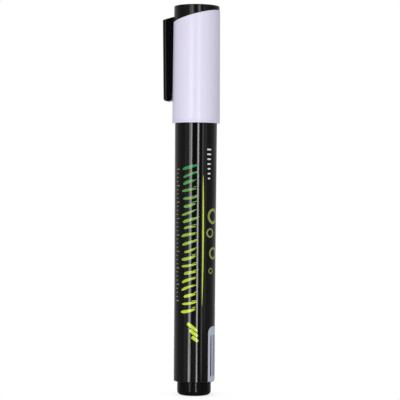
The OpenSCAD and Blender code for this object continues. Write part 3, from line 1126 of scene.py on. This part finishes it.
def settle(piece: Piece, body: Body) -> None:
    """Let a new piece ride on a body and report it."""
    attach(piece, body.value)
    LOG.info("%s rides on %s with %d faces", piece.name, body.value, len(piece.data.polygons))


@dataclass(frozen=True)
class StripLamp:
    """A strip light that faces the pen's axis."""

    name: str
    offset: float
    width: float
    radiance: float
    tint: Colour = WHITE
    low_z: float = -0.09
    high_z: float = 0.207
    distance: float = 0.53
    lean: float = 0.0

    def build(self) -> None:
        """Place the lamp at its angle from the viewpoint, turned to the axis.

        Its upper end leans to the right, seen from behind the lamp. A flat lamp of area A that
        sends out the power P has the radiance P / (pi A).
        """
        lean = math.radians(self.lean)
        height = (self.high_z - self.low_z) / math.cos(lean)
        lamp = bpy.data.lights.new(self.name, "AREA")
        lamp.shape = "RECTANGLE"
        lamp.size = self.width
        lamp.size_y = height
        lamp.energy = self.radiance * math.pi * self.width * height
        lamp.color = self.tint
        holder = show(self.name, lamp)
        outward = azimuth_vector(VIEW_AZIMUTH + self.offset)
        holder.location = outward * self.distance + UP * ((self.low_z + self.high_z) / 2)
        holder.rotation_mode = "QUATERNION"
        upright = (-outward).to_track_quat("-Z", "Y")
        holder.rotation_quaternion = upright @ Quaternion(UP, -lean)
        holder.visible_camera = False


@dataclass
class Studio:
    """The viewpoint, the lamps, the pale floor and the white surroundings."""

    distance: float = 0.534
    lens: float = 135.0
    sensor: float = 36.0
    clip_start: float = 0.01
    aim_z: float = 69.2 * MM
    aim_right: float = 1.62 * MM
    roll: float = 0.45
    floor_radius: float = 0.06
    floor_points: int = 96
    floor_fade: Span = (0.005, 0.015)
    floor_white: float = 0.5
    floor_glow: float = 0.7
    sheen_span: Span = (-0.1, 1.0)
    side_sheen: float = 0.17
    back_sheen: float = 0.52
    front_span: Span = (-0.98, -0.45)
    front_share: float = 0.05
    soft_below: float = 0.38
    soft_above: float = 0.66
    soft_lean: float = 0.6
    left_tint: Colour = (1.0, 0.94, 0.96)

    def camera(self) -> None:
        """Place the camera level with the pen's middle, turned slightly about its own view."""
        back = azimuth_vector(VIEW_AZIMUTH)
        right = azimuth_vector(VIEW_AZIMUTH + 90.0)
        turn = math.radians(self.roll)
        side = right * math.cos(turn) + UP * math.sin(turn)
        top = UP * math.cos(turn) - right * math.sin(turn)
        data = bpy.data.cameras.new("viewpoint")
        data.lens = self.lens
        data.sensor_width = self.sensor
        data.clip_start = self.clip_start
        holder = show("viewpoint", data)
        spot = UP * self.aim_z + right * self.aim_right + back * self.distance
        turned = Matrix((side, top, back)).transposed().to_4x4()
        holder.matrix_world = Matrix.Translation(spot) @ turned
        bpy.context.scene.camera = holder

    def floor(self) -> None:
        """Lay a small round pale floor under the foot, white to the camera where it is lit."""
        turn = np.linspace(0.0, FULL_TURN, self.floor_points, endpoint=False)
        rim = self.floor_radius * np.stack([np.cos(turn), np.sin(turn), 0 * turn], axis=-1)
        mesh = bpy.data.meshes.new("floor")
        mesh.from_pydata(rim.tolist(), [], [list(range(len(rim)))])
        material, sketch, shader = start_material("pale_floor")
        material.node_tree.nodes.remove(shader)
        matt = sketch.add("BsdfDiffuse", Color=shade(WHITE, self.floor_white))
        seen = sketch.add("LightPath").outputs["Is Camera Ray"]
        glow = sketch.add("Emission", Strength=sketch.math("MULTIPLY", seen, self.floor_glow))
        both = sketch.add("AddShader", values=(matt.outputs[0], glow.outputs[0]))
        away = sketch.vector_math("LENGTH", sketch.place_of())
        gone = sketch.remap(away, self.floor_fade, NONE_TO_ALL, True)
        clear = sketch.add("BsdfTransparent")
        fade = sketch.add("MixShader", values=(gone, both.outputs[0], clear.outputs[0]))
        sketch.fill(material.node_tree.nodes["Material Output"], Surface=fade.outputs[0])
        mesh.materials.append(material)
        floor = show("floor", mesh)

    def surroundings(self) -> None:
        """Make the world, which is not the same for every ray.

        A camera or transmission ray sees plain white. A glossy ray sees a dark studio round the
        camera, dim sides and a pale back. Other rays bring a soft light that grows from the lower
        right to the upper left.
        """
        world = bpy.data.worlds.new("surroundings")
        world.use_nodes = True
        sketch = Sketch(world.node_tree)
        ray = sketch.add("LightPath").outputs
        behind = tuple(-azimuth_vector(VIEW_AZIMUTH))
        outward = sketch.place_of("Generated")
        facing = sketch.vector_math("DOT_PRODUCT", outward, behind)
        pale_back = sketch.remap(facing, self.sheen_span, (self.side_sheen, self.back_sheen), True)
        dark_front = sketch.remap(facing, self.front_span, (self.front_share, 1.0), True)
        glossy = sketch.math("MULTIPLY", pale_back, dark_front)
        right = azimuth_vector(VIEW_AZIMUTH + 90.0)
        lit_from = tuple((UP - right * self.soft_lean).normalized())
        toward = sketch.vector_math("DOT_PRODUCT", outward, lit_from)
        soft = sketch.remap(toward, (-1.0, 1.0), (self.soft_below, self.soft_above))
        plain = sketch.math("MAXIMUM", ray["Is Camera Ray"], ray["Is Transmission Ray"])
        either = sketch.add("Mix", Factor=ray["Is Glossy Ray"], A=soft, B=glossy)
        level = sketch.add("Mix", Factor=plain, A=either.outputs[0], B=1.0)
        background = world.node_tree.nodes["Background"]
        sketch.fill(background, Color=WHITE, Strength=level.outputs[0])
        bpy.context.scene.world = world

    def lamps(self) -> tuple[StripLamp, ...]:
        """List the lamps.

        Returns:
            The lamps, each with its angle from the viewpoint, its width and its radiance.
        """
        left = {"tint": self.left_tint, "low_z": -0.061}
        return (
            StripLamp("left_strip", -28.3, 0.155, 3.5, **left),
            StripLamp("left_core", -24.9, 0.045, 5.8, **left, distance=0.52, lean=20.0),
            StripLamp("left_foot", -29.3, 0.1, 3.6, **left, high_z=-0.045, distance=0.51),
            StripLamp("right_strip", 13.3, 0.07, 10.2, low_z=-0.02),
            StripLamp("right_low", 13.3, 0.06, 8.4, low_z=-0.1, high_z=-0.02),
            StripLamp("right_foot", 13.3, 0.06, 26.0, low_z=-0.1, high_z=-0.068, distance=0.52),
            StripLamp("side_strip", 39.3, 0.075, 1.3, low_z=-0.055),
            StripLamp("side_fill", 54.0, 0.18, 0.3, low_z=-0.02),
            StripLamp("left_fill", -50.0, 0.2, 0.25),
            StripLamp("front_glow", -1.0, 0.2, 0.17, high_z=-0.01),
            StripLamp("back_strip", 180.0, 0.1, 4.0, low_z=-0.13, high_z=0.0),
        )

    def build(self) -> None:
        """Set up the whole studio."""
        self.camera()
        self.floor()
        self.surroundings()
        for lamp in self.lamps():
            lamp.build()
        bpy.context.scene.view_settings.view_transform = "Standard"


def main() -> None:
    """Dress the pen and set up the studio."""
    logging.basicConfig(level=logging.INFO, format="%(message)s")
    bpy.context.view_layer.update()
    Studio().build()
    finishes = Finishes()
    BarrelAssembly(finishes).build()
    ValveAssembly(finishes).build()
    CapAssembly(finishes).build()


if __name__ == "__main__":
    main()
